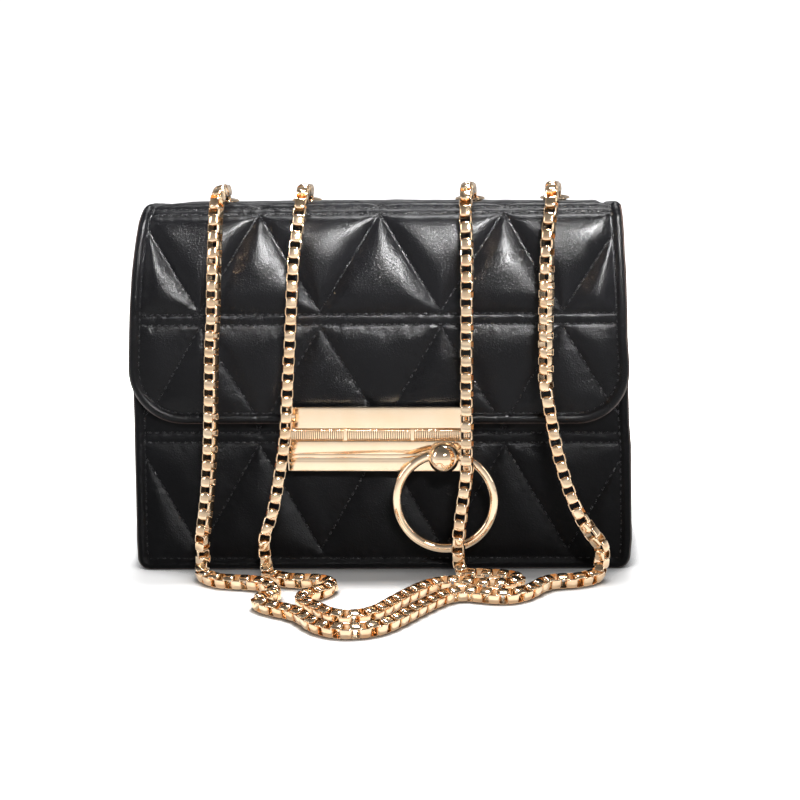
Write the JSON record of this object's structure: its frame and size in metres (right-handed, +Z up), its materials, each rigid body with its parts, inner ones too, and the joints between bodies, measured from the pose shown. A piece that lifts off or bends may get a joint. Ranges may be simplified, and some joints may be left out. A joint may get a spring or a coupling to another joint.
{
  "type": "quilted crossbody purse with chain strap",
  "caption": "Black quilted box-shaped flap bag with a gold plate clasp, ball and ring, and a doubled box-chain strap through four eyelets.",
  "frame": {"origin": "centre of the base underside, on the surface the bag stands on", "axes": "+X along the width, to the right seen from the front; +Y to the back; +Z up; the flap and clasp face -Y"},
  "size_m": [0.2, 0.172, 0.1569],
  "materials": {
    "black_leather": "soft padded nappa-style leather, fine grain, semi-gloss",
    "leather_binding": "smooth turned edge, semi-gloss",
    "lining_fabric": "plain woven lining, matt",
    "fibre_board": "pressed fibre board, matt",
    "foam_core": "thin padding foam, matt",
    "gold_metal": "polished light gold plating",
    "gold_chain": "polished light gold plating",
    "plain_steel": "plain stamped steel",
    "magnet_nickel": "nickel plated"
  },
  "bodies": {
    "bag_body": {"front_panel": "black_leather", "back_panel": "black_leather", "left_gusset": "black_leather", "right_gusset": "black_leather", "bottom_panel": "black_leather", "rim_binding": "leather_binding", "front_stiffener": "fibre_board", "back_stiffener": "fibre_board", "base_board": "fibre_board", "lining_bag": "lining_fabric", "slip_pocket": "lining_fabric", "body_magnet": "magnet_nickel", "clasp_base": "gold_metal", "reeded_inlays": "gold_metal", "clasp_backing_plate": "plain_steel", "clasp_screws": "plain_steel", "ball_stud": "gold_metal", "stud_washer": "gold_metal", "stud_nut": "plain_steel"},
    "flap": {"flap_outer": "black_leather", "flap_core": "foam_core", "flap_lining": "lining_fabric", "flap_plate": "gold_metal", "flap_plate_backing": "plain_steel", "flap_rivets": "gold_metal", "flap_keeper": "magnet_nickel", "eyelets": "gold_metal", "eyelet_washers": "gold_metal", "inner_chain_left": "gold_chain", "inner_chain_right": "gold_chain"},
    "chain_top": {"top_chain_1": "gold_chain", "top_chain_2": "gold_chain", "top_chain_3": "gold_chain", "top_chain_4": "gold_chain"},
    "chain_front": {"front_chain_1": "gold_chain", "front_chain_2": "gold_chain", "front_chain_3": "gold_chain", "front_chain_4": "gold_chain"},
    "chain_floor": {"floor_chain_outer": "gold_chain", "floor_chain_inner": "gold_chain"},
    "ring": {"knocker_ring": "gold_metal"}
  },
  "joints": [
    {"name": "flap_open", "type": "hinge", "parent": "bag_body", "child": "flap", "pos_m": [0, 0.033, 0.1465], "axis": [-1, 0, 0], "range_deg": [0, 115]},
    {"name": "chain_raise", "type": "hinge", "parent": "flap", "child": "chain_top", "pos_m": [0, 0.019, 0.1525], "axis": [-1, 0, 0], "range_deg": [0, 90]},
    {"name": "chain_front_swing", "type": "hinge", "parent": "chain_top", "child": "chain_front", "pos_m": [0, -0.0445, 0.152], "axis": [-1, 0, 0], "range_deg": [0, 90]},
    {"name": "chain_floor_swing", "type": "hinge", "parent": "chain_front", "child": "chain_floor", "pos_m": [0, -0.0555, 0.0035], "axis": [-1, 0, 0], "range_deg": [-90, 0]},
    {"name": "ring_swing", "type": "hinge", "parent": "bag_body", "child": "ring", "pos_m": [0.0284, -0.049, 0.0482], "axis": [-1, 0, 0], "range_deg": [0, 75]}
  ],
  "couplings": [
    {"joint": "chain_front_swing", "follows": "chain_raise", "ratio": 1},
    {"joint": "chain_floor_swing", "follows": "chain_raise", "ratio": -1},
    {"joint": "ring_swing", "follows": "chain_raise", "ratio": 0.8}
  ]
}
